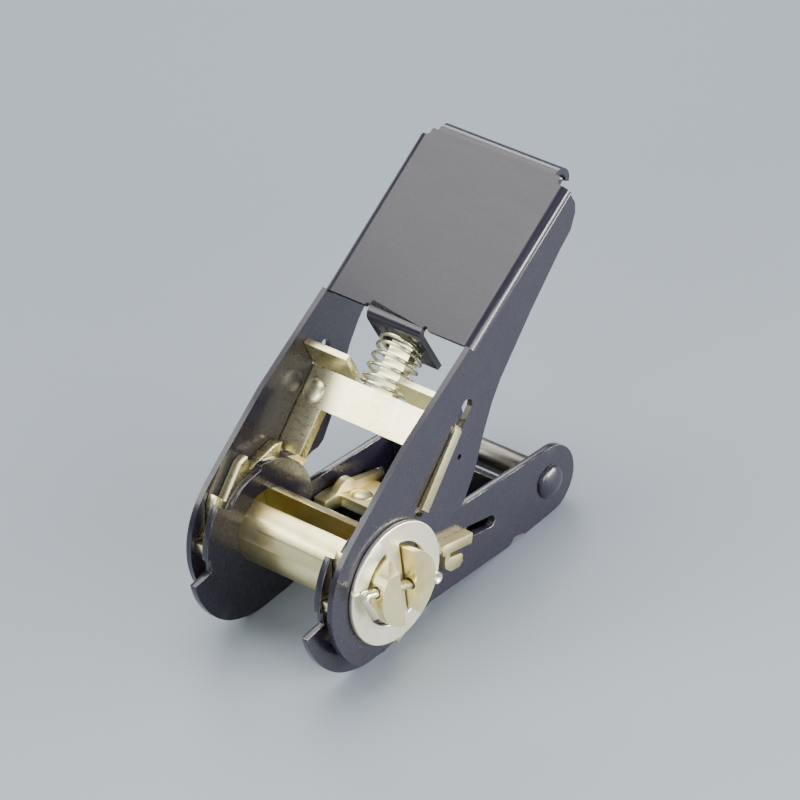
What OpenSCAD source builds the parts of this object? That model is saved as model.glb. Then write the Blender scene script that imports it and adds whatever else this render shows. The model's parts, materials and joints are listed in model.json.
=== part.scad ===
// Ratchet tie-down buckle for narrow webbing: a folded sheet base with a pinned rear bar,
// a split mandrel between two ratchet wheels, and a crank handle with a sprung pawl.
// X runs to the rear bar, Y along the mandrel, Z up. The origin is the middle of the mandrel.

/* [Webbing] */
// Clear width between the two base cheeks
inner_w = 26.6; // [26:0.1:28]
// Width of the slot that the webbing passes through in the mandrel
slot_w = 4.3; // [4.1:0.1:4.6]

/* [Base] */
// Thickness of the base sheet
base_t = 1.45; // [1.2:0.05:1.5]
// Distance from the mandrel to the rear bar, along the cheeks
bar_x = 50.75; // [48:0.25:54]
// Height of the rear bar relative to the mandrel
bar_z = -2.3; // [-2.6:0.1:-1.9]
// Radius of the rounded rear end of a cheek
rear_r = 7.45; // [7:0.05:8]
// Radius of the front lobe that the buckle stands on
lobe_r = 18.9; // [18:0.1:20]
// Angle that the cheeks lean back when the buckle stands on its lobes and feet
rest_tilt = 8.9; // [8:0.1:10]

/* [Ratchet] */
// Number of teeth on each wheel
teeth = 10; // [10:1:12]
// Radius at the tips of the teeth
wheel_tip_r = 16.06; // [15.5:0.05:16.2]
// Radius at the roots of the teeth
wheel_root_r = 12.9; // [12.5:0.1:13.2]
// Angle of the tooth that the handle pawl pushes on
wheel_phase = 65.5; // [64.5:0.5:67]
// Thickness of a wheel
wheel_t = 2.1; // [1.5:0.1:2.2]

/* [Mandrel] */
// Radius of the two mandrel halves together
mandrel_r = 7.55; // [7.4:0.05:7.55]
// Distance that the halves stand out past the hub washers
mandrel_stub = 3.1; // [2.8:0.1:3.6]

/* [Handle] */
// Thickness of the handle sheet
handle_t = 1.2; // [1:0.1:1.4]
// Angle of the slots in the arms, which the handle pawl slides along
pull_angle = 51; // [50:0.5:52]
// Angle of the grip plate
grip_angle = 39; // [38:0.5:40]
// Length of the flat grip, up to where its end curls over
grip_len = 37.4; // [36:0.2:40]
// Outer radius of the curled end
curl_r = 2.62; // [2.2:0.1:3]

/* [Pawls] */
// Thickness of the handle pawl
handle_pawl_t = 2.3; // [2:0.1:2.3]
// Thickness of the base pawl
base_pawl_t = 2.2; // [2:0.1:2.2]
// Wire thickness of both springs
wire_d = 0.8; // [0.7:0.1:1]

/* [Hidden] */
$fn = 96;

// Side gaps: every moving layer outside the cheeks clears the next by this much
side_gap = 0.1;
cheek_in = inner_w / 2;
cheek_out = cheek_in + base_t;
wheel_in = cheek_out + side_gap;
wheel_out = wheel_in + wheel_t;
arm_in = wheel_out + side_gap;
arm_out = arm_in + handle_t;
washer_t = 1;
washer_in = arm_out + side_gap;
washer_out = washer_in + washer_t;
mandrel_end = washer_out + mandrel_stub;

// A shaft turning in a punched hole
run_gap = 0.06;
hub_hole_r = mandrel_r + run_gap;

// Front lobe of a cheek: a round bottom, drawn in tighter at the front
lobe_c = [-3.2, 0.85];
lobe_front_c = [-3.3, -1.25];
lobe_front_r = 16.95;
lobe_end_x = 6;
foot_x = [43.6, 51.9];

// Height of the flat ground under the base at x, in the base's own frame
function floor_z(x) =
    ((x - lobe_c[0]) * sin(rest_tilt) - lobe_r) / cos(rest_tilt) + lobe_c[1];

// Floor plate of the base: its underside runs from the front edge to the rear edge
floor_front = [15.3, -13.1];
floor_rear = [38.8, -11.6];
notch_z = -10.3;
top_front = [13.3, 3.55];
rivet_head_r = 3.6;
rivet_head_t = 1.5;
rivet_r = 2;
sleeve_r = 2.8;
sleeve_bore_r = rivet_r + run_gap;

// Upright tab at the rear of the floor plate, which the base spring pushes against
stop_x = 36.5;
stop_top = 3.5;
stop_half_w = 12.6;

// Base pawl, drawn along its slide: t runs away from the mandrel, n upward
base_pull_angle = -5.5;
base_tip = wheel_tip_r + 0.3;
base_ear_end = 25;
base_web = [18.1, 28];
base_finger_tip = 13.2;
base_tongue_end = 39.6;
base_tongue_w = 4.4;
base_slot = [15.2, 34.4];
base_slot_n = -0.15;
base_slot_w = 2.6;
base_coil_r = 3.3;

// Handle pawl, drawn the same way along the slots of the arms
pawl_n = 1.3;
pawl_tip = 14.4;
pawl_ear_end = 31.5;
pawl_web = [24, 31.6];
pawl_leg_in = 11.1;
pawl_ear_out = arm_out + 1.2;
pawl_front = pawl_n + handle_pawl_t / 2;
pawl_back = pawl_n - handle_pawl_t / 2;
flange_angle = 66;
flange_len = 6.4;
flange_t = 1.3;
flange_half_gap = 6.3;
tongue_w = 5.2;
tongue_end = 46.2;
arm_hub_r = 17;
arm_slot = [12.6, 37];
arm_slot_w = 2.9;
handle_coil_r = 4.5;
handle_coil_n = 2.2;
handle_coil = [pawl_web[1] + 0.1, 41.2];
dimple_r = 2.3;
dimple_h = 0.55;

// Grip: its upper face starts here and runs along grip_angle
grip_start = [22.1, 40.45];
tab_angle = -58.6;
tab_len = 9.8;
tab_half_w = 6.6;
tab_bend_r = 2;
handle_coil_lean = pull_angle - tab_angle - 90;

// The slot stands upright when the buckle stands; its front face is this far from the axis
slot_lean = rest_tilt;
slot_front = -2;
key_gap = 0.05;

// Hub washer and the hole that the loose halves sit in
washer_r = 12.42;
washer_hole_r = 8.4;
washer_gap = 0.3;
pin_angle = -14;
pin_r = 1.1;
pin_y = washer_out + pin_r + 0.1;

function polar(r, a) = [r * cos(a), r * sin(a)];
function arc(r, a0, a1, steps = 12) = [for (i = [0:steps]) polar(r, a0 + (a1 - a0) * i / steps)];
function shift(points, by) = [for (p = points) p + by];

// Low dome standing on z = 0
module dome(r, h) {
    rotate_extrude() polygon(concat([for (a = [0:15:75]) [r * cos(a), h * sin(a)]], [[0, h], [0, 0]]));
}

// Puts a shape drawn in the base's own frame where it stands, leaning back on its feet
module stand() {
    rotate([0, rest_tilt, 0]) children();
}

// Extrudes an X-Z outline between two values of Y
module side_plate(y0, y1) {
    translate([0, y1, 0]) rotate([90, 0, 0]) linear_extrude(y1 - y0) children();
}

// The same outline on both sides of the middle
module both_sides(y0, y1) {
    side_plate(y0, y1) children();
    side_plate(-y1, -y0) children();
}

// Turns an outline drawn as t and n so that t points along an angle
module along(angle) {
    rotate(angle) children();
}

// Part of a disc between two angles less than 180 degrees apart
module sector(r, a0, a1) {
    intersection() {
        circle(r);
        polygon(concat([[0, 0]], arc(2 * r, a0, a1, 4)));
    }
}

// Slot with round ends, from t0 to t1
module slot_2d(t0, t1, w, n) {
    translate([t0 + w / 2, n - w / 2]) square([t1 - t0 - w, w]);
    translate([t0 + w / 2, n]) circle(w / 2);
    translate([t1 - w / 2, n]) circle(w / 2);
}

// Coil of round wire along t, from t0 to t1; the turns lean over by degrees towards the t1 end
module coil(r, t0, t1, turns, lean = 0) {
    sides = 8;
    steps = turns * 20;
    lead = t1 - t0 - wire_d;
    ring = [for (i = [0:steps], k = [0:sides - 1])
        let (a = 360 * turns * i / steps,
            w = wire_d / 2,
            rr = r + w * cos(360 * k / sides),
            t = t0 + w + (lead + tan(lean) * rr * cos(a)) * i / steps)
        [t + w * sin(360 * k / sides), rr * sin(a), rr * cos(a)]];
    walls = [for (i = [0:steps - 1], k = [0:sides - 1])
        let (k2 = (k + 1) % sides)
        [i * sides + k, i * sides + k2, (i + 1) * sides + k2, (i + 1) * sides + k]];
    start_cap = [[for (k = [0:sides - 1]) sides - 1 - k]];
    end_cap = [[for (k = [0:sides - 1]) steps * sides + k]];
    polyhedron(ring, concat(walls, start_cap, end_cap));
}

// ---- Base ----

module cheek_outline() {
    // Cam edge over the mandrel, which the handle pawl rides on
    sector(13.4, 10, 95);
    sector(12.4, 90, 146);
    sector(16.4, 143.5, 183);
    sector(15.7, 180, 194);
    intersection() {
        translate(lobe_c) circle(lobe_r);
        translate(lobe_front_c) circle(lobe_front_r);
        polygon([[0, 0], polar(30, 193.8), [-30, -30], [lobe_end_x, -30], [lobe_end_x, -10]]);
    }
    // Lower front, floor and rear end
    polygon([[0, 0], top_front, [bar_x, bar_z + rear_r], [bar_x, bar_z],
        [foot_x[1], floor_z(foot_x[1])], [foot_x[0], floor_z(foot_x[0])],
        [foot_x[0] - 1.2, notch_z], [floor_rear[0] + 1.5, notch_z], floor_rear, floor_front,
        [lobe_end_x, floor_z(lobe_end_x)], [-0.3, floor_z(-0.3)], [0, -12]]);
    translate([bar_x, bar_z]) circle(rear_r);
}

module base_cuts() {
    circle(hub_hole_r);
    translate([bar_x, bar_z]) circle(rivet_r);
    along(base_pull_angle) slot_2d(base_slot[0], base_slot[1], base_slot_w, base_slot_n);
}

module base_frame() {
    color([0.10, 0.10, 0.12]) stand() difference() {
        union() {
            both_sides(cheek_in, cheek_out) difference() {
                cheek_outline();
                base_cuts();
            }
            // Floor plate between the cheeks
            side_plate(-cheek_in - 0.01, cheek_in + 0.01)
                polygon([floor_front, floor_rear, floor_rear + [0, base_t], floor_front + [0, base_t]]);
            // Upright tab, bent up from the floor plate
            side_plate(-stop_half_w, stop_half_w)
                polygon([[stop_x + 0.6, floor_rear[1] + 0.1], [floor_rear[0], floor_rear[1]],
                    [stop_x + base_t, stop_top], [stop_x, stop_top]]);
        }
        // Window in the tab for the tongue of the base pawl
        rotate([0, -base_pull_angle, 0]) translate([stop_x - 5, -base_tongue_w / 2 - 0.3, -1.6])
            cube([12, base_tongue_w + 0.6, 3.2]);
    }
}

// Riveted bar: a shank through both cheeks with a domed head at each end
module anchor_pin() {
    color([0.12, 0.12, 0.13]) stand() translate([bar_x, 0, bar_z]) rotate([90, 0, 0]) {
        translate([0, 0, -cheek_out]) cylinder(r = rivet_r, h = 2 * cheek_out);
        for (side = [0, 1])
            mirror([0, 0, side]) translate([0, 0, cheek_out]) dome(rivet_head_r, rivet_head_t);
    }
}

module anchor_sleeve() {
    half_len = cheek_in - 0.2;
    color([0.55, 0.52, 0.47]) stand() translate([bar_x, half_len, bar_z]) rotate([90, 0, 0])
        difference() {
            cylinder(r = sleeve_r, h = 2 * half_len);
            translate([0, 0, -1]) cylinder(r = sleeve_bore_r, h = 2 * half_len + 2);
        }
}

module base_pawl() {
    half_t = base_pawl_t / 2;
    rib = [10, 11.6];
    finger_under = [[17.1, -half_t], [base_finger_tip, -0.8], [base_finger_tip, 1.4], [16.3, 2.1]];
    color([0.80, 0.72, 0.42]) stand() {
        // Web between the cheeks and the tongue that guides the spring
        side_plate(-cheek_in + 0.3, cheek_in - 0.3) along(base_pull_angle)
            translate([base_web[0], -half_t]) square([base_web[1] - base_web[0], base_pawl_t]);
        side_plate(-base_tongue_w / 2, base_tongue_w / 2) along(base_pull_angle)
            translate([base_web[1] - 1, -half_t])
                square([base_tongue_end - base_web[1] + 1, base_pawl_t]);
        // Fingers on both sides, with the ears that pass through the cheeks
        both_sides(rib[0], cheek_in - 0.3) along(base_pull_angle)
            polygon(concat(finger_under, [[19, 2.1], [21, half_t], [21, -half_t]]));
        both_sides(cheek_in - 0.5, wheel_out) along(base_pull_angle)
            translate([base_tip, -half_t]) square([base_ear_end - base_tip, base_pawl_t]);
        // Hooked prong under each ear
        both_sides(wheel_in, wheel_out) along(base_pull_angle)
            polygon([[17.2, 0], [17.2, -2.9], [17.6, -4.1], [19.2, -5.2], [21.8, -5.05],
                [22.6, -4.05], [22.4, -2.6], [21.8, -2.2], [18.6, -2], [18.6, 0]]);
        // Raised ribs that stiffen the web
        both_sides(rib[0], rib[1]) along(base_pull_angle)
            polygon(concat(finger_under, [[17.6, 3.5], [19.2, 4.3], [20.6, 4.2], [21.9, 3.1],
                [29.8, 2.6], [29.8, 1.1], [base_web[1], -half_t]]));
        // Pressed bumps
        for (side = [-1, 1])
            rotate([0, -base_pull_angle, 0]) translate([21.2, side * 7.8, half_t])
                dome(dimple_r, dimple_h);
    }
}

module base_spring() {
    color([0.85, 0.80, 0.62]) stand() rotate([0, -base_pull_angle, 0])
        coil(base_coil_r, base_web[1] + 0.1, stop_x - 0.5, 4);
}

// ---- Mandrel ----

// One half of the mandrel, cut from the round bar by a flat face
module mandrel_half(removed_from) {
    stand() difference() {
        rotate([90, 0, 0]) cylinder(r = mandrel_r, h = 2 * mandrel_end, center = true);
        rotate([0, -slot_lean, 0]) translate([removed_from, -30, -20]) cube([20, 60, 40]);
        for (side = [-1, 1])
            translate([0, side * pin_y, 0]) rotate([0, 90 - pin_angle, 0])
                cylinder(r = pin_r + 0.1, h = 30, center = true);
    }
}

module mandrel_front_half() {
    end_z = 4.8;
    color([0.86, 0.82, 0.66]) difference() {
        mandrel_half(slot_front);
        // Ends trimmed at a slant along the top
        for (side = [0, 1])
            mirror([0, side, 0]) stand() translate([-20, mandrel_end, end_z]) rotate([-45, 0, 0])
                translate([0, -10, 0]) cube([40, 20, 10]);
    }
}

module mandrel_rear_half() {
    color([0.83, 0.77, 0.58]) mandrel_half(slot_front + slot_w - 20);
}

function tooth(i) = [
    polar(wheel_root_r, wheel_phase + 360 / teeth * i),
    polar(wheel_tip_r, wheel_phase + 360 / teeth * i),
    polar(wheel_tip_r - 0.45, wheel_phase + 360 / teeth * (i + 0.2))];

// Toothed wheel, keyed onto the halves by a bridge that fills the slot
// Two D-shaped holes for the halves, with a web of sheet left between them
module half_slots(r, gap) {
    intersection() {
        circle(r);
        union() {
            rotate(slot_lean) translate([-20 + slot_front + gap, -20]) square([20, 40]);
            rotate(slot_lean) translate([slot_front + slot_w - gap, -20]) square([20, 40]);
        }
    }
}
module ratchet_wheel(y0) {
    color([0.80, 0.73, 0.45]) stand() side_plate(y0, y0 + wheel_t) difference() {
        polygon([for (i = [0:teeth - 1]) each tooth(i)]);
        half_slots(hub_hole_r, key_gap);
    }
}

module ratchet_wheel_near() {
    ratchet_wheel(-wheel_out);
}

module ratchet_wheel_far() {
    ratchet_wheel(wheel_in);
}

module hub_washer(y0) {
    color([0.88, 0.86, 0.74]) stand() side_plate(y0, y0 + washer_t) difference() {
        circle(washer_r);
        half_slots(washer_hole_r, washer_gap);
    }
}

module hub_washer_near() {
    hub_washer(-washer_out);
}

module hub_washer_far() {
    hub_washer(washer_in);
}

// Rod with round ends from one point of the X-Z plane to another
module rod(p, q, r) {
    span = q - p;
    translate(p) rotate([0, acos(span[2] / norm(span)), atan2(span[1], span[0])])
        cylinder(r = r, h = norm(span));
    translate(p) sphere(r, $fn = 32);
    translate(q) sphere(r, $fn = 32);
}

// Split pin through both halves: a small eye at one end, and two legs folded apart at the other
module cotter_pin(y, turn) {
    eye_r = 1.2;
    eye_wire = 0.55;
    leg_r = 0.85;
    shank = [-11.2, 8.6];
    elbow_xz = polar(shank[0], pin_angle);
    elbow = [elbow_xz[0], 0, elbow_xz[1]];
    outward = sign(y) * 0.8;
    color([0.84, 0.84, 0.78]) stand() translate([0, y, 0]) rotate([0, turn, 0]) {
        rotate([0, -pin_angle, 0]) {
            translate([shank[0], 0, 0]) rotate([0, 90, 0])
                cylinder(r = pin_r, h = shank[1] - shank[0]);
            translate([shank[1] + eye_r, 0, 0]) rotate([90, 0, 0])
                rotate_extrude() translate([eye_r, 0]) circle(eye_wire, $fn = 24);
        }
        rod(elbow, elbow + [-2, 0, 2], leg_r);
        rod(elbow, elbow + [1.9, outward, -5.4], leg_r);
    }
}

module cotter_pin_near() {
    cotter_pin(-pin_y, 0);
}

// The far pin goes in from the other side
module cotter_pin_far() {
    cotter_pin(pin_y, 180);
}

// ---- Handle ----

// Side view of one arm: hub, front lobe and blade up to the grip
module arm_outline() {
    intersection() {
        circle(arm_hub_r);
        polygon([[-20, 20], [6, 20], [0, 0], [4.3, -11.9], [-2.2, -14.4], [-20, -14.4]]);
    }
    circle(12.3);
    grip_end = grip_start + polar(35, grip_angle);
    polygon([[-12, 12.1], [-7.5, 16.4], [3.7, 26.7], grip_start, grip_end,
        grip_end + [1.7, -1.3], [52.4, 58.9], [52.5, 56.8], [51.2, 53.6], [48.3, 50.8], [39.7, 41],
        [31.1, 30.2], [28.6, 26], [25.9, 19.6], [24.5, 15.3], [22.8, 11.7], [20.7, 8.1],
        [19.3, 7.1], [17.6, 6.9], [11.5, 5], [0, 0]]);
}

module arm_cuts() {
    circle(hub_hole_r);
    along(pull_angle) slot_2d(arm_slot[0], arm_slot[1], arm_slot_w, pawl_n);
    translate([19.2, 18.4]) circle(0.55);
}

// Spring tab, bent down and back from the front edge of the grip
module tab_outline() {
    centre = grip_start + polar(tab_bend_r, grip_angle - 90);
    far = centre + polar(tab_bend_r, tab_angle - 90) + polar(tab_len, tab_angle);
    inner_r = tab_bend_r - handle_t;
    joint = centre + polar(1.5, grip_angle);
    polygon(concat(
        shift(arc(tab_bend_r, grip_angle + 90, tab_angle + 270, 8), centre),
        [far, far + polar(handle_t, tab_angle + 90)],
        shift(arc(inner_r, tab_angle + 270, grip_angle + 90, 8), centre),
        [joint + polar(inner_r, grip_angle + 90), joint + polar(tab_bend_r, grip_angle + 90)]));
}

// Curled end of the grip
module curl_outline() {
    difference() {
        union() {
            sector(curl_r, -60, 90.5);
            translate([-1, curl_r - handle_t]) square([1.02, handle_t]);
        }
        circle(curl_r - handle_t);
    }
}

module handle_frame() {
    side_r = 2;
    notch_s = grip_len - 1.6;
    notch_y = arm_out - 2.6;
    notch_r = 0.8;
    relief_r = 0.6;
    curl_half_w = 14.3;
    color([0.11, 0.11, 0.13]) stand() {
        difference() {
            both_sides(arm_in, arm_out) difference() {
                arm_outline();
                arm_cuts();
            }
            for (side = [0, 1])
                mirror([0, side, 0]) translate([grip_start[0], 0, grip_start[1]])
                    rotate([0, -grip_angle, 0]) translate([0, arm_in - 1, -side_r])
                        cube([grip_len + 4, 4, side_r + 2]);
        }
        // Grip plate with rounded shoulders into the arms
        translate([grip_start[0], 0, grip_start[1]]) rotate([0, -grip_angle, 0]) {
            difference() {
                union() {
                    translate([0, -arm_out + side_r, -handle_t])
                        cube([grip_len, 2 * (arm_out - side_r), handle_t]);
                    for (side = [0, 1])
                        mirror([0, side, 0]) intersection() {
                            translate([0, arm_out - side_r, -side_r]) rotate([0, 90, 0]) difference() {
                                cylinder(r = side_r, h = grip_len);
                                translate([0, 0, -1])
                                    cylinder(r = side_r - handle_t, h = grip_len + 2);
                            }
                            translate([0, arm_out - side_r, -side_r])
                                cube([grip_len, side_r, side_r]);
                        }
                }
                for (side = [0, 1])
                    mirror([0, side, 0]) {
                        // Relief beside the root of the spring tab
                        translate([0, tab_half_w + relief_r - 0.1, -5]) cylinder(r = relief_r, h = 10);
                        // Round-cornered notch beside the curled end
                        translate([notch_s + notch_r, notch_y, -5]) cube([5, 5, 10]);
                        translate([notch_s, notch_y + notch_r, -5]) cube([5, 5, 10]);
                        translate([notch_s + notch_r, notch_y + notch_r, -5])
                            cylinder(r = notch_r, h = 10);
                    }
            }
            translate([grip_len, 0, -curl_r]) side_plate(-curl_half_w, curl_half_w) curl_outline();
        }
        difference() {
            side_plate(-tab_half_w, tab_half_w) tab_outline();
            rotate([0, -pull_angle, 0]) translate([38, -tongue_w / 2 - 0.3, pawl_back - 0.5])
                cube([12, tongue_w + 0.6, handle_pawl_t + 0.9]);
        }
    }
}

// Handle pawl: legs into the teeth, ears through the arms, shoulders bent forward for the fingers
module handle_pawl() {
    flange_root = [pawl_web[1], pawl_front];
    flange_dir = polar(flange_len, flange_angle);
    flange_back = polar(flange_t, flange_angle - 90);
    color([0.86, 0.82, 0.62]) stand() {
        // Web across the handle
        side_plate(-arm_in + side_gap, arm_in - side_gap) along(pull_angle)
            translate([pawl_web[0], pawl_back]) square([pawl_web[1] - pawl_web[0], handle_pawl_t]);
        // Legs and ears, which flare outward towards the teeth
        both_sides(pawl_leg_in, arm_in - side_gap) along(pull_angle)
            translate([pawl_tip, pawl_back]) square([pawl_web[1] - pawl_tip, handle_pawl_t]);
        for (side = [0, 1])
            mirror([0, side, 0]) rotate([0, -pull_angle, 0]) translate([0, 0, pawl_back])
                linear_extrude(handle_pawl_t)
                    polygon([[pawl_tip, arm_in - 1], [pawl_tip, pawl_ear_out],
                        [pawl_ear_end - 0.8, arm_out + 0.55], [pawl_ear_end, arm_out - 0.1],
                        [pawl_ear_end, arm_in - 1]]);
        // Shoulders, bent forward
        both_sides(flange_half_gap, arm_in - side_gap) along(pull_angle)
            polygon([[pawl_web[1] - 2, pawl_back], [pawl_web[1] - 2, pawl_front], flange_root,
                flange_root + flange_dir, flange_root + flange_dir + flange_back,
                flange_root + flange_back + [0.1, -0.9], [pawl_web[1] + 0.9, pawl_back + 0.3],
                [pawl_web[1], pawl_back]]);
        // Pressed bumps on the front face
        for (side = [-1, 1])
            rotate([0, -pull_angle, 0]) translate([26.8, side * 14.4, pawl_front])
                dome(dimple_r, dimple_h);
        // Tongue that guides the spring
        side_plate(-tongue_w / 2, tongue_w / 2) along(pull_angle)
            translate([pawl_web[1] - 1, pawl_back])
                square([tongue_end - pawl_web[1] + 1, handle_pawl_t]);
    }
}

module handle_spring() {
    color([0.88, 0.85, 0.72]) stand() rotate([0, -pull_angle, 0])
        translate([0, 0, handle_coil_n])
            coil(handle_coil_r, handle_coil[0], handle_coil[1], 5.5, handle_coil_lean);
}

base_frame();
anchor_pin();
anchor_sleeve();
base_pawl();
base_spring();
mandrel_front_half();
mandrel_rear_half();
ratchet_wheel_near();
ratchet_wheel_far();
hub_washer_near();
hub_washer_far();
cotter_pin_near();
cotter_pin_far();
handle_frame();
handle_pawl();
handle_spring();
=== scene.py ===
import json
import math

import bmesh
import bpy
from mathutils import Matrix, Vector

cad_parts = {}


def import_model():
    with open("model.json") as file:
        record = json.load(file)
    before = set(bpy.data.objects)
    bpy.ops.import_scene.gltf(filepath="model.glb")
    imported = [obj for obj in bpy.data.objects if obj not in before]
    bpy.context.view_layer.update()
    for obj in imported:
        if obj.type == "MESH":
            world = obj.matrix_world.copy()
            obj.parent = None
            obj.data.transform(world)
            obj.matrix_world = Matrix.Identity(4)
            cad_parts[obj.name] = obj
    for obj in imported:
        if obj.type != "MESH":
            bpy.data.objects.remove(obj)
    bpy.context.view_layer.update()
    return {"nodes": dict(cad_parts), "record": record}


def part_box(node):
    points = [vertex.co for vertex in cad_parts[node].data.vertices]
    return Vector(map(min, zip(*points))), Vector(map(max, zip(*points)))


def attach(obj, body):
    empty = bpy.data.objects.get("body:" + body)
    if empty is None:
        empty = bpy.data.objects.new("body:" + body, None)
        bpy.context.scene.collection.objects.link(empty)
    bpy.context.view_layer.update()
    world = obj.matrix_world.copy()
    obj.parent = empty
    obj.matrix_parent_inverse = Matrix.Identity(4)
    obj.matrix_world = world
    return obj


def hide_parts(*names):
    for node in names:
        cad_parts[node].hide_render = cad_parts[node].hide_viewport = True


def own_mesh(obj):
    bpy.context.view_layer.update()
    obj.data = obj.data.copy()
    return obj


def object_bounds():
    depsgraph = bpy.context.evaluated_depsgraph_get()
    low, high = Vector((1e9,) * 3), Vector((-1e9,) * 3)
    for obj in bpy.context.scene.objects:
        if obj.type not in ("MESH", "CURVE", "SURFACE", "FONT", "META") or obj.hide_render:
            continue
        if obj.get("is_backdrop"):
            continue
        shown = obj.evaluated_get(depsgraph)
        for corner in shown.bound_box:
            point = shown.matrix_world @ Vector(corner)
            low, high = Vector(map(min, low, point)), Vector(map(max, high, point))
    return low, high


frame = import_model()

# Ratchet buckle for narrow webbing, standing on a pale floor. Metres throughout.
MM = 0.001
BODY_OF = {
    node: body
    for body, nodes in frame["record"]["behaviour"]["bodies"].items()
    for node in nodes
}
SLOT_OF = {s["node"]: s["material_slot"] for s in frame["record"]["subparts"]}
JOINT = {j["name"]: j for j in frame["record"]["behaviour"]["joints"]}


# ---- Small helpers ----


def link(obj):
    bpy.context.scene.collection.objects.link(obj)
    return obj


def as_piece(obj, node, *also_replaced):
    """The piece stands for its CAD node, on the same body; the CAD node and any others given are
    hidden.
    """
    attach(obj, BODY_OF[node])
    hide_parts(node, *also_replaced)
    return obj


def smooth_by_angle(mesh, degrees):
    bm = bmesh.new()
    bm.from_mesh(mesh)
    for face in bm.faces:
        face.smooth = True
    for edge in bm.edges:
        sharp = len(edge.link_faces) == 2 and edge.calc_face_angle(0) > math.radians(degrees)
        edge.smooth = not sharp
    bm.to_mesh(mesh)
    bm.free()


# ---- Materials ----


class Nodes:
    """Short way to write a material's node tree."""

    def __init__(self, name):
        self.material = bpy.data.materials.new(name)
        self.material.use_nodes = True
        self.tree = self.material.node_tree
        self.shader = self.tree.nodes["Principled BSDF"]
        self.coords = self.tree.nodes.new("ShaderNodeTexCoord").outputs["Object"]

    def add(self, kind, inputs=(), **settings):
        node = self.tree.nodes.new(kind)
        for key, value in settings.items():
            setattr(node, key, value)
        for key, value in dict(inputs).items():
            if isinstance(value, bpy.types.NodeSocket):
                self.tree.links.new(value, node.inputs[key])
            else:
                node.inputs[key].default_value = value
        return node

    def noise(self, scale, detail=4.0, roughness=0.5, stretch=(1, 1, 1)):
        mapped = self.add("ShaderNodeMapping", {"Vector": self.coords, "Scale": stretch})
        found = self.add(
            "ShaderNodeTexNoise",
            {"Vector": mapped.outputs[0], "Scale": scale, "Detail": detail, "Roughness": roughness},
        )
        return found.outputs[0]

    def spread(self, value, low, high, to_low=0.0, to_high=1.0):
        ranged = self.add(
            "ShaderNodeMapRange",
            {"Value": value, "From Min": low, "From Max": high, "To Min": to_low, "To Max": to_high},
        )
        return ranged.outputs[0]

    def times(self, a, b):
        return self.add("ShaderNodeMath", {0: a, 1: b}, operation="MULTIPLY").outputs[0]

    def mix(self, factor, first, second):
        mixed = self.add(
            "ShaderNodeMix",
            {"Factor": factor, 6: first, 7: second},
            data_type="RGBA",
        )
        return mixed.outputs[2]

    def bump(self, height, strength, distance):
        bumped = self.add(
            "ShaderNodeBump", {"Height": height, "Strength": strength, "Distance": distance}
        )
        self.tree.links.new(bumped.outputs[0], self.shader.inputs["Normal"])

    def drive(self, socket, output):
        self.tree.links.new(output, self.shader.inputs[socket])

    def put(self, **values):
        for key, value in values.items():
            self.shader.inputs[key.replace("_", " ")].default_value = value


def rgb(r, g, b):
    return (r, g, b, 1.0)


def paint_material():
    """Black gloss paint: faint orange peel, dust in patches and light scuffs."""
    m = Nodes("black_paint")
    black, dust = rgb(0.012, 0.010, 0.020), rgb(0.026, 0.023, 0.038)
    peel = m.noise(900.0, 2.0)
    patches = m.noise(70.0, 5.0, 0.6)
    scuffs = m.noise(320.0, 6.0, 0.7, (1, 0.25, 1))
    dusty = m.spread(patches, 0.52, 0.78, 0.0, 0.18)
    m.drive("Base Color", m.mix(dusty, black, dust))
    m.drive("Roughness", m.spread(scuffs, 0.35, 0.75, 0.24, 0.34))
    m.bump(peel, 0.25, 0.02 * MM)
    m.put(Metallic=0.0, Coat_Weight=0.4, Coat_Roughness=0.10, Specular_IOR_Level=0.5)
    return m.material


def worn_edge_material():
    """Sheared edges of the painted sheet, where the paint is thin and rubbed through."""
    m = Nodes("worn_edge")
    thin_paint, steel = rgb(0.030, 0.029, 0.036), rgb(0.46, 0.45, 0.45)
    rubbed = m.spread(m.noise(180.0, 6.0, 0.65), 0.44, 0.58)
    m.drive("Base Color", m.mix(rubbed, thin_paint, steel))
    m.drive("Metallic", m.spread(rubbed, 0.0, 1.0, 0.2, 0.9))
    m.drive("Roughness", m.spread(rubbed, 0.0, 1.0, 0.25, 0.38))
    m.bump(m.noise(1500.0, 3.0), 0.2, 0.02 * MM)
    return m.material


def zinc_material(name, light, dark, tint, gloss, cloud=60.0):
    """Chromated zinc plate: a thin coat whose colour drifts in clouds, over rolled steel."""
    m = Nodes(name)
    clouds = m.spread(m.noise(cloud, 4.0, 0.55), 0.42, 0.64)
    drift = m.spread(m.noise(cloud * 1.7, 3.0, 0.5, (1.0, 0.6, 1.3)), 0.50, 0.72)
    grain = m.noise(1400.0, 3.0, 0.6, (1, 0.4, 1))
    spots = m.spread(m.noise(160.0, 4.0, 0.6), 0.60, 0.80, 0.0, 0.15)
    base = m.mix(clouds, light, dark)
    base = m.mix(m.times(drift, 0.6), base, tint)
    stain = rgb(0.30, 0.25, 0.13)
    base = m.mix(spots, base, stain)
    m.drive("Base Color", base)
    m.drive("Roughness", m.spread(grain, 0.3, 0.7, gloss - 0.03, gloss + 0.05))
    m.bump(grain, 0.05, 0.02 * MM)
    m.put(Metallic=1.0, Coat_Weight=0.15, Coat_Roughness=0.2)
    return m.material


def floor_material():
    """Pale blue grey, with painted shade that deepens it towards the back."""
    m = Nodes("studio_floor")
    towards_back = (0.71, 0.70, 0)
    pale, painted_shade = rgb(0.315, 0.355, 0.400), rgb(0.225, 0.262, 0.310)
    away = m.add("ShaderNodeVectorMath", {0: m.coords, 1: towards_back}, operation="DOT_PRODUCT")
    # Painted shade: the floor's colour darkens from front to back.
    distance = m.spread(away.outputs["Value"], -0.10, 0.14)
    m.drive("Base Color", m.mix(distance, pale, painted_shade))
    m.put(Roughness=0.55, Metallic=0.0)
    return m.material


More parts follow.
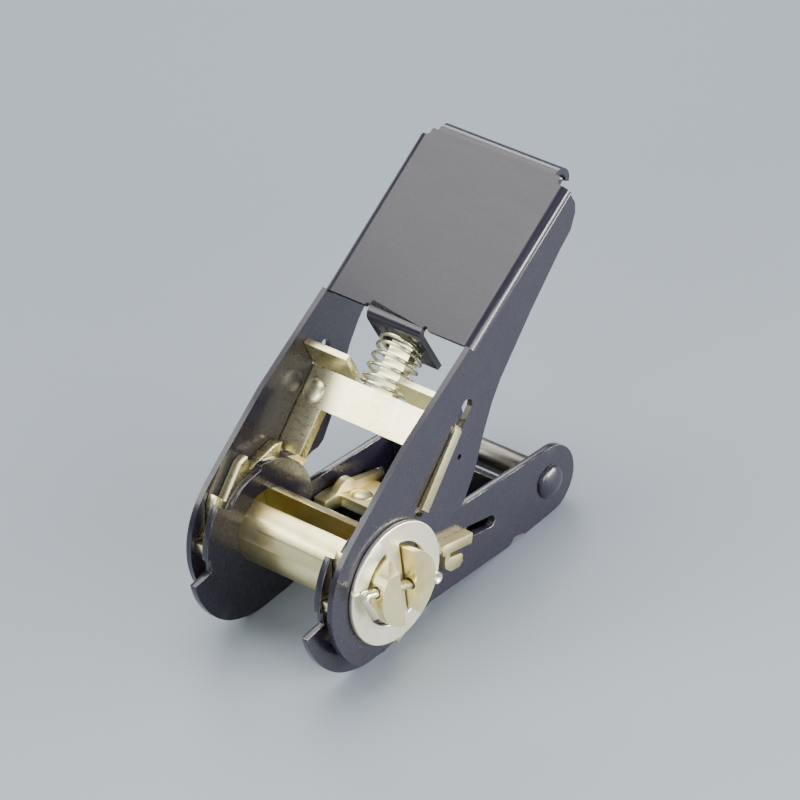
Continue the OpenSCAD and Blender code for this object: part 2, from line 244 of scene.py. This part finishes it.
PAINT = paint_material()
WORN = worn_edge_material()
YELLOW = zinc_material(
    "yellow_zinc", rgb(1.00, 0.93, 0.60), rgb(0.88, 0.72, 0.34), rgb(0.80, 0.84, 0.48), 0.28
)
BRASSY = zinc_material(
    "brassy_zinc", rgb(1.00, 0.90, 0.50), rgb(0.84, 0.67, 0.29), rgb(0.80, 0.85, 0.50), 0.32, 90.0
)
PALE = zinc_material(
    "pale_zinc", rgb(1.00, 0.97, 0.84), rgb(0.97, 0.90, 0.66), rgb(0.92, 0.93, 0.76), 0.40
)
BRIGHT = zinc_material(
    "bright_zinc", rgb(0.88, 0.86, 0.66), rgb(0.64, 0.60, 0.40), rgb(0.66, 0.70, 0.52), 0.26
)
GREY = zinc_material(
    "grey_zinc", rgb(0.19, 0.18, 0.165), rgb(0.12, 0.112, 0.10), rgb(0.15, 0.145, 0.14), 0.34
)
FINISH = {
    "black_paint": (PAINT, WORN),
    "yellow_zinc": (YELLOW, YELLOW),
    "pale_zinc": (PALE, PALE),
    "bright_zinc": (BRIGHT, BRIGHT),
    "grey_zinc": (GREY, GREY),
}
# These pieces carry a deeper, more clouded yellow than the others in their slot
DEEP_YELLOW = ("mandrel_front_half", "mandrel_rear_half", "base_pawl")
OWN_FINISH = {node: (BRASSY, BRASSY) for node in DEEP_YELLOW}


# ---- Pieces made from the CAD shapes, with their edges broken ----


def shade_like_sheet(mesh, flat_width=2.0 * MM, sharp=35.0):
    """Broad faces stay flat; strips of curved faces and the rounded edges are shaded smooth."""
    bm = bmesh.new()
    bm.from_mesh(mesh)
    for face in bm.faces:
        around = sum(edge.calc_length() for edge in face.edges)
        face.smooth = 2 * face.calc_area() < flat_width * around
    for edge in bm.edges:
        folded = len(edge.link_faces) == 2 and edge.calc_face_angle(0) > math.radians(sharp)
        edge.smooth = not folded
    bmesh.ops.triangulate(bm, faces=[face for face in bm.faces if len(face.verts) > 4])
    bm.to_mesh(mesh)
    bm.free()


def softened(node, edge, segments=2, sharper_than=28.0):
    """Piece from a CAD node's own shape, its edges rounded over the width given in millimetres."""
    mesh = frame["nodes"][node].data.copy()
    bm = bmesh.new()
    bm.from_mesh(mesh)
    bmesh.ops.remove_doubles(bm, verts=bm.verts, dist=0.002 * MM)
    bmesh.ops.dissolve_limit(bm, angle_limit=math.radians(1.0), verts=bm.verts, edges=bm.edges)
    bm.to_mesh(mesh)
    bm.free()
    mesh.materials.clear()
    for material in OWN_FINISH.get(node, FINISH[SLOT_OF[node]]):
        mesh.materials.append(material)
    for face in mesh.polygons:
        face.material_index = 0
    piece = link(bpy.data.objects.new(node + "_piece", mesh))
    bevel = piece.modifiers.new("edges", "BEVEL")
    bevel.width = edge * MM
    bevel.segments = segments
    bevel.limit_method = "ANGLE"
    bevel.angle_limit = math.radians(sharper_than)
    bevel.use_clamp_overlap = True
    bevel.material = 1
    bevel.miter_outer = "MITER_ARC"
    evaluated = piece.evaluated_get(bpy.context.evaluated_depsgraph_get())
    baked = bpy.data.meshes.new_from_object(evaluated)
    piece.modifiers.clear()
    shade_like_sheet(baked)
    piece.data = baked
    return as_piece(piece, node)


# ---- Things bent from wire ----


def skin_over(bm, rings):
    """Closed skin over a row of rings with the same number of points."""
    sides = len(rings[0])
    for first, second in zip(rings, rings[1:]):
        for k in range(sides):
            n = (k + 1) % sides
            bm.faces.new((first[k], first[n], second[n], second[k]))
    bm.faces.new(tuple(reversed(rings[0])))
    bm.faces.new(tuple(rings[-1]))


def wire_piece(bm, node, smooth_below):
    """Piece for the node from a finished bmesh; edges under so many degrees look round."""
    bmesh.ops.recalc_face_normals(bm, faces=bm.faces)
    mesh = bpy.data.meshes.new(node + "_mesh")
    bm.to_mesh(mesh)
    bm.free()
    mesh.materials.append(FINISH[SLOT_OF[node]][0])
    smooth_by_angle(mesh, smooth_below)
    return as_piece(link(bpy.data.objects.new(node + "_piece", mesh)), node)


def coil_rise(turn, turns, length, closed_turns, closed_pitch):
    """How far along its axis the wire is after so many turns; each end of the coil is closed."""
    closed_rise = closed_turns * closed_pitch
    if turn < closed_turns:
        return turn * closed_pitch
    if turn > turns - closed_turns:
        return length - (turns - turn) * closed_pitch
    share = (turn - closed_turns) / (turns - 2 * closed_turns)
    return closed_rise + share * (length - 2 * closed_rise)


def spring(node, joint, inner_end, length, radius, wire, turns, lean=0.0):
    """Coil of round wire, closed at both ends.

    The coil starts at its inner end and runs the way that the pawl is pulled. Its far end
    is tilted by the lean, about the line of the mandrel.
    """
    sides = 12
    steps_per_turn = 36
    closed_turns = 0.85
    closed_pitch = wire * 0.98
    axis = Vector(JOINT[joint]["axis"]).normalized()
    u = Vector((0, 1, 0))
    v = axis.cross(u).normalized()
    bm = bmesh.new()
    rings = []
    count = int(turns * steps_per_turn)
    for i in range(count + 1):
        turn = i / steps_per_turn
        rise = coil_rise(turn, turns, length - wire, closed_turns, closed_pitch)
        angle = 2 * math.pi * turn
        outward = u * math.cos(angle) + v * math.sin(angle)
        tipped = math.tan(lean) * radius * math.sin(angle) * turn / turns
        centre = inner_end + axis * (rise + wire / 2 + tipped) + outward * radius
        ring = []
        for k in range(sides):
            a = 2 * math.pi * k / sides
            ring.append(bm.verts.new(centre + (outward * math.cos(a) + axis * math.sin(a)) * wire / 2))
        rings.append(ring)
    skin_over(bm, rings)
    piece = wire_piece(bm, node, smooth_below=50)
    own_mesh(piece)
    return piece


PIN_RADIUS = 1.1 * MM
PIN_LEAN = math.radians(-22.9)


def half_round_wire(bm, path, radius, flat_side, sides=16):
    """Half-round wire along a path; its flat lies along the mandrel, on the given side of the way."""
    rings = []
    for i, point in enumerate(path):
        before = path[max(i - 1, 0)]
        after = path[min(i + 1, len(path) - 1)]
        along = (after - before).normalized()
        flat = along.cross(Vector((0, 1, 0))).normalized() * flat_side
        across = along.cross(flat)
        ring = []
        for k in range(sides):
            a = 2 * math.pi * k / sides
            ring.append(
                bm.verts.new(
                    point + (across * math.cos(a) + flat * min(math.sin(a), 0.0)) * radius
                )
            )
        rings.append(ring)
    skin_over(bm, rings)


def bent_path(points, radius, steps=6):
    """Straight runs between the points, joined by round bends."""
    path = [points[0]]
    for before, corner, after in zip(points, points[1:], points[2:]):
        start = corner + (before - corner).normalized() * radius
        end = corner + (after - corner).normalized() * radius
        for i in range(steps + 1):
            t = i / steps
            path.append(start * (1 - t) ** 2 + corner * 2 * t * (1 - t) + end * t * t)
    return path + [points[-1]]


def split_pin(node, way_in=1):
    """Folded wire: a small eye, two half-round legs in the hole, folded apart at the other end.

    The pin is put in from the rear, or from the front where way_in is -1.
    """
    low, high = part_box(node)
    outside = math.copysign(1, low[1] + high[1])
    shank_y = outside * (min(abs(low[1]), abs(high[1])) + PIN_RADIUS)
    along = Vector((math.cos(PIN_LEAN), 0, math.sin(PIN_LEAN))) * way_in
    up = Vector((-math.sin(PIN_LEAN), 0, math.cos(PIN_LEAN))) * way_in
    origin = Vector((0, shank_y, 0))
    wire_radius = 1.05 * MM
    eye_radius = 1.15 * MM
    eye_at = 9.7 * MM
    eye_starts = math.pi - 0.45
    eye_steps = 12
    shank_front = -11.2 * MM
    shank_rear = 8.3 * MM
    outward = 0.8 * outside * way_in
    folds = {1: Vector((-1.7, 0, 2.3)) * MM, -1: Vector((1.75, outward, -5.3)) * MM}
    bm = bmesh.new()
    for way, fold in folds.items():
        elbow = origin + along * shank_front + up * way * 0.1 * MM
        rear_end = origin + along * shank_rear + up * way * 0.05 * MM
        path = bent_path([elbow + fold * way_in, elbow, rear_end], PIN_RADIUS)
        for i in range(eye_steps + 1):
            a = eye_starts - eye_starts * i / eye_steps
            path.append(
                origin
                + along * (eye_at + eye_radius * math.cos(a))
                + up * way * eye_radius * math.sin(a)
            )
        half_round_wire(bm, path, wire_radius, way)
    return wire_piece(bm, node, smooth_below=40)


# Rounding of each piece's edges, in millimetres
EDGES = {
    "base_frame": 0.22,
    "anchor_pin": 0.30,
    "anchor_sleeve": 0.20,
    "base_pawl": 0.25,
    "mandrel_front_half": 0.35,
    "mandrel_rear_half": 0.35,
    "ratchet_wheel_near": 0.18,
    "ratchet_wheel_far": 0.18,
    "hub_washer_near": 0.20,
    "hub_washer_far": 0.20,
    "handle_frame": 0.22,
    "handle_pawl": 0.28,
}
for cad_node, edge_mm in EDGES.items():
    softened(cad_node, edge_mm)

split_pin("cotter_pin_near")
split_pin("cotter_pin_far", -1)

PULL = Vector(JOINT["handle_pawl_pull"]["axis"])
PULL_UP = Vector((-PULL.z, 0, PULL.x))
BASE_PULL = Vector(JOINT["base_pawl_pull"]["axis"])
SPRING_WIRE = 0.8 * MM
spring(
    "handle_spring",
    "handle_pawl_pull",
    inner_end=PULL * 31.7 * MM + PULL_UP * 2.2 * MM,
    length=9.5 * MM,
    radius=4.5 * MM,
    wire=SPRING_WIRE,
    turns=5.5,
    lean=math.radians(19.6),
)
spring(
    "base_spring",
    "base_pawl_pull",
    inner_end=BASE_PULL * 28.1 * MM,
    length=7.9 * MM,
    radius=3.3 * MM,
    wire=SPRING_WIRE,
    turns=4.5,
)


# ---- Studio ----


def studio_floor():
    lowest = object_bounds()[0][2]
    bpy.ops.mesh.primitive_plane_add(size=8.0, location=(0, 0, lowest))
    floor = bpy.context.object
    floor.name = "studio_floor"
    floor.data.materials.append(floor_material())
    floor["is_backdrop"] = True


def area_light(name, place, size, power, colour=(1, 1, 1), aim=(0.02, 0, 0.01)):
    data = bpy.data.lights.new(name, "AREA")
    data.shape = "RECTANGLE"
    data.size, data.size_y = size
    data.energy = power
    data.color = colour
    lamp = link(bpy.data.objects.new(name, data))
    lamp.location = place
    lamp.rotation_euler = (Vector(aim) - Vector(place)).to_track_quat("-Z", "Y").to_euler()
    lamp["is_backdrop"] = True


def camera():
    """Long lens that looks down from in front of the -Y side, rolled a little."""
    aim = Vector((23.99, -2.5, 20.75)) * MM
    distance = 0.9389
    azimuth = math.radians(45.46)
    elevation = math.radians(36.23)
    roll = math.radians(-7.03)
    back = Vector(
        (
            -math.sin(azimuth) * math.cos(elevation),
            -math.cos(azimuth) * math.cos(elevation),
            math.sin(elevation),
        )
    )
    right = (-back).cross(Vector((0, 0, 1))).normalized()
    up = back.cross(right)
    rolled_right = right * math.cos(roll) + up * math.sin(roll)
    rolled_up = up * math.cos(roll) - right * math.sin(roll)
    data = bpy.data.cameras.new("camera")
    data.lens = 224.3
    data.sensor_width = 36.0
    data.clip_end = 50.0
    cam = link(bpy.data.objects.new("camera", data))
    turn = Matrix((rolled_right, rolled_up, back)).transposed().to_4x4()
    cam.matrix_world = Matrix.Translation(aim + back * distance) @ turn
    bpy.context.scene.camera = cam


def world():
    w = bpy.data.worlds.new("studio")
    w.use_nodes = True
    background = w.node_tree.nodes["Background"]
    background.inputs[0].default_value = (0.80, 0.86, 0.92, 1)
    background.inputs[1].default_value = 0.35
    bpy.context.scene.world = w


studio_floor()
area_light("overhead", (0.25, 0.35, 1.3), (1.5, 1.1), 24.0, (1.0, 0.97, 0.92))
area_light("left_panel", (-1.2, -0.1, 0.7), (0.9, 0.9), 10.0, (0.97, 0.98, 1.0))
area_light("front_panel", (-0.1, -1.3, 0.5), (1.2, 0.8), 20.0, (0.97, 0.97, 1.0))
area_light("front_low_panel", (0.65, -1.0, 0.16), (0.9, 0.3), 30.0, (1.0, 0.98, 0.93))
area_light("back_left_panel", (-0.9, 1.0, 1.1), (0.9, 0.7), 12.0, (1.0, 0.99, 0.97))
area_light("back_right_panel", (1.0, 1.0, 1.0), (0.6, 0.6), 8.0)
camera()
world()
